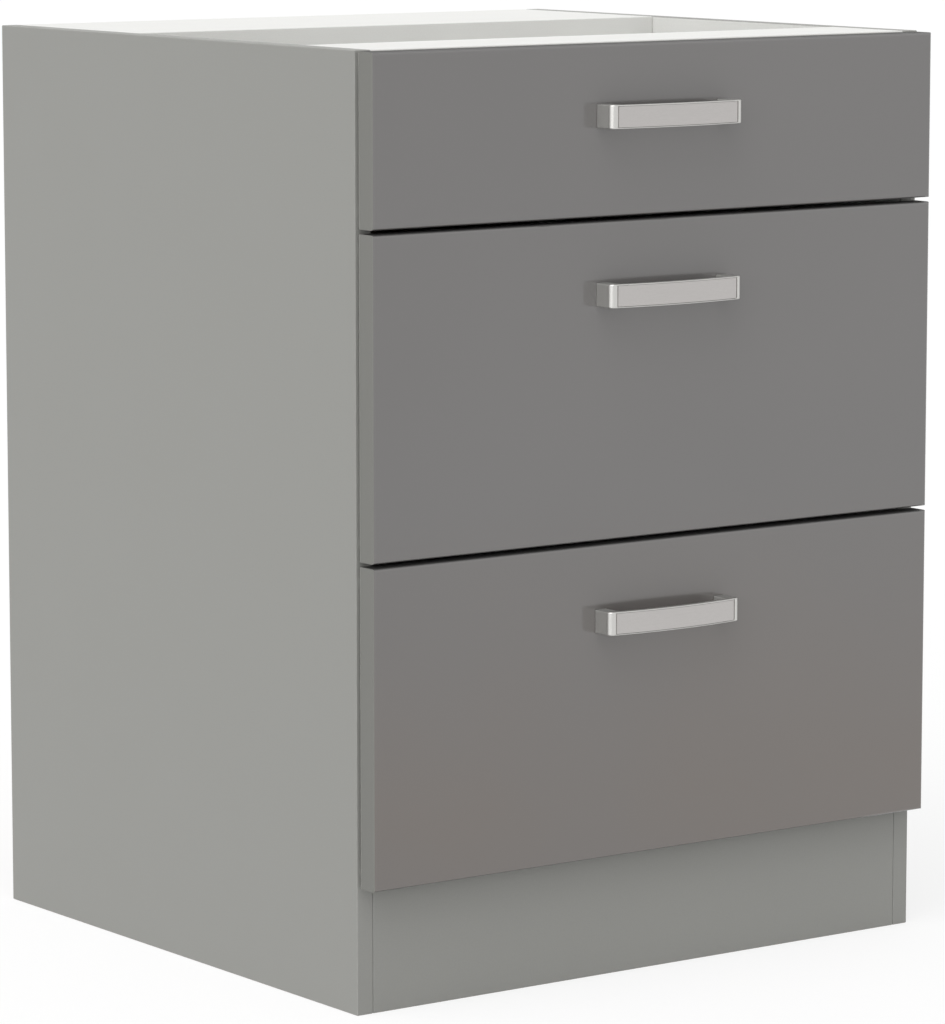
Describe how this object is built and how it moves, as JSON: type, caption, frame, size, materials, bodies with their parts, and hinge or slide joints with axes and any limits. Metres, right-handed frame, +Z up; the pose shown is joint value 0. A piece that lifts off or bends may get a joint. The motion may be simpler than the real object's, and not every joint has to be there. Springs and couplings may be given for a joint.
{
  "type": "base cabinet with drawers",
  "caption": "Kitchen base cabinet with a shallow drawer above deeper drawers, flat gloss fronts, bow handles, a plinth, and an open top ready for a worktop.",
  "frame": {"origin": "centre of the footprint, handles included, at floor level", "axes": "+Z up; -Y out of the drawer fronts, towards the user; +X to the right of someone who faces the fronts"},
  "size_m": [0.6, 0.6082, 0.8],
  "materials": {
    "grey_board": "matt grey melamine-faced chipboard",
    "white_board": "white melamine-faced chipboard",
    "gloss_front": "high-gloss warm grey over fibreboard",
    "hardboard": "white-faced hardboard",
    "satin_metal": "satin brushed",
    "zinc_steel": "bright zinc-plated sheet and screws",
    "cast_zinc": "dull cast zinc"
  },
  "bodies": {
    "carcass": {"left_side_panel": "grey_board", "right_side_panel": "grey_board", "plinth_board": "grey_board", "bottom_panel": "white_board", "front_top_rail": "white_board", "rear_top_rail": "white_board", "back_panel": "hardboard", "front_rail_left_cam": "cast_zinc", "front_rail_right_cam": "cast_zinc", "rear_rail_left_cam": "cast_zinc", "rear_rail_right_cam": "cast_zinc", "bottom_front_left_cam": "cast_zinc", "bottom_front_right_cam": "cast_zinc", "bottom_rear_left_cam": "cast_zinc", "bottom_rear_right_cam": "cast_zinc", "lower_left_cabinet_channel": "zinc_steel", "lower_right_cabinet_channel": "zinc_steel", "middle_left_cabinet_channel": "zinc_steel", "middle_right_cabinet_channel": "zinc_steel", "upper_left_cabinet_channel": "zinc_steel", "upper_right_cabinet_channel": "zinc_steel"},
    "lower_drawer": {"lower_drawer_front": "gloss_front", "lower_handle": "satin_metal", "lower_left_handle_screw": "zinc_steel", "lower_right_handle_screw": "zinc_steel", "lower_box_left_side": "white_board", "lower_box_right_side": "white_board", "lower_box_back": "white_board", "lower_box_bottom": "hardboard", "lower_left_drawer_channel": "zinc_steel", "lower_right_drawer_channel": "zinc_steel"},
    "middle_drawer": {"middle_drawer_front": "gloss_front", "middle_handle": "satin_metal", "middle_left_handle_screw": "zinc_steel", "middle_right_handle_screw": "zinc_steel", "middle_box_left_side": "white_board", "middle_box_right_side": "white_board", "middle_box_back": "white_board", "middle_box_bottom": "hardboard", "middle_left_drawer_channel": "zinc_steel", "middle_right_drawer_channel": "zinc_steel"},
    "upper_drawer": {"upper_drawer_front": "gloss_front", "upper_handle": "satin_metal", "upper_left_handle_screw": "zinc_steel", "upper_right_handle_screw": "zinc_steel", "upper_box_left_side": "white_board", "upper_box_right_side": "white_board", "upper_box_back": "white_board", "upper_box_bottom": "hardboard", "upper_left_drawer_channel": "zinc_steel", "upper_right_drawer_channel": "zinc_steel"},
    "lower_left_link": {"lower_left_link_channel": "zinc_steel"},
    "lower_right_link": {"lower_right_link_channel": "zinc_steel"},
    "middle_left_link": {"middle_left_link_channel": "zinc_steel"},
    "middle_right_link": {"middle_right_link_channel": "zinc_steel"},
    "upper_left_link": {"upper_left_link_channel": "zinc_steel"},
    "upper_right_link": {"upper_right_link_channel": "zinc_steel"}
  },
  "joints": [
    {"name": "lower_drawer_slide", "type": "slide", "parent": "carcass", "child": "lower_drawer", "axis": [0, -1, 0], "range_m": [0, 0.45]},
    {"name": "middle_drawer_slide", "type": "slide", "parent": "carcass", "child": "middle_drawer", "axis": [0, -1, 0], "range_m": [0, 0.45]},
    {"name": "upper_drawer_slide", "type": "slide", "parent": "carcass", "child": "upper_drawer", "axis": [0, -1, 0], "range_m": [0, 0.45]},
    {"name": "lower_left_link_slide", "type": "slide", "parent": "carcass", "child": "lower_left_link", "axis": [0, -1, 0], "range_m": [0, 0.225]},
    {"name": "lower_right_link_slide", "type": "slide", "parent": "carcass", "child": "lower_right_link", "axis": [0, -1, 0], "range_m": [0, 0.225]},
    {"name": "middle_left_link_slide", "type": "slide", "parent": "carcass", "child": "middle_left_link", "axis": [0, -1, 0], "range_m": [0, 0.225]},
    {"name": "middle_right_link_slide", "type": "slide", "parent": "carcass", "child": "middle_right_link", "axis": [0, -1, 0], "range_m": [0, 0.225]},
    {"name": "upper_left_link_slide", "type": "slide", "parent": "carcass", "child": "upper_left_link", "axis": [0, -1, 0], "range_m": [0, 0.225]},
    {"name": "upper_right_link_slide", "type": "slide", "parent": "carcass", "child": "upper_right_link", "axis": [0, -1, 0], "range_m": [0, 0.225]}
  ],
  "couplings": [
    {"joint": "lower_left_link_slide", "follows": "lower_drawer_slide", "ratio": 0.5},
    {"joint": "lower_right_link_slide", "follows": "lower_drawer_slide", "ratio": 0.5},
    {"joint": "middle_left_link_slide", "follows": "middle_drawer_slide", "ratio": 0.5},
    {"joint": "middle_right_link_slide", "follows": "middle_drawer_slide", "ratio": 0.5},
    {"joint": "upper_left_link_slide", "follows": "upper_drawer_slide", "ratio": 0.5},
    {"joint": "upper_right_link_slide", "follows": "upper_drawer_slide", "ratio": 0.5}
  ]
}
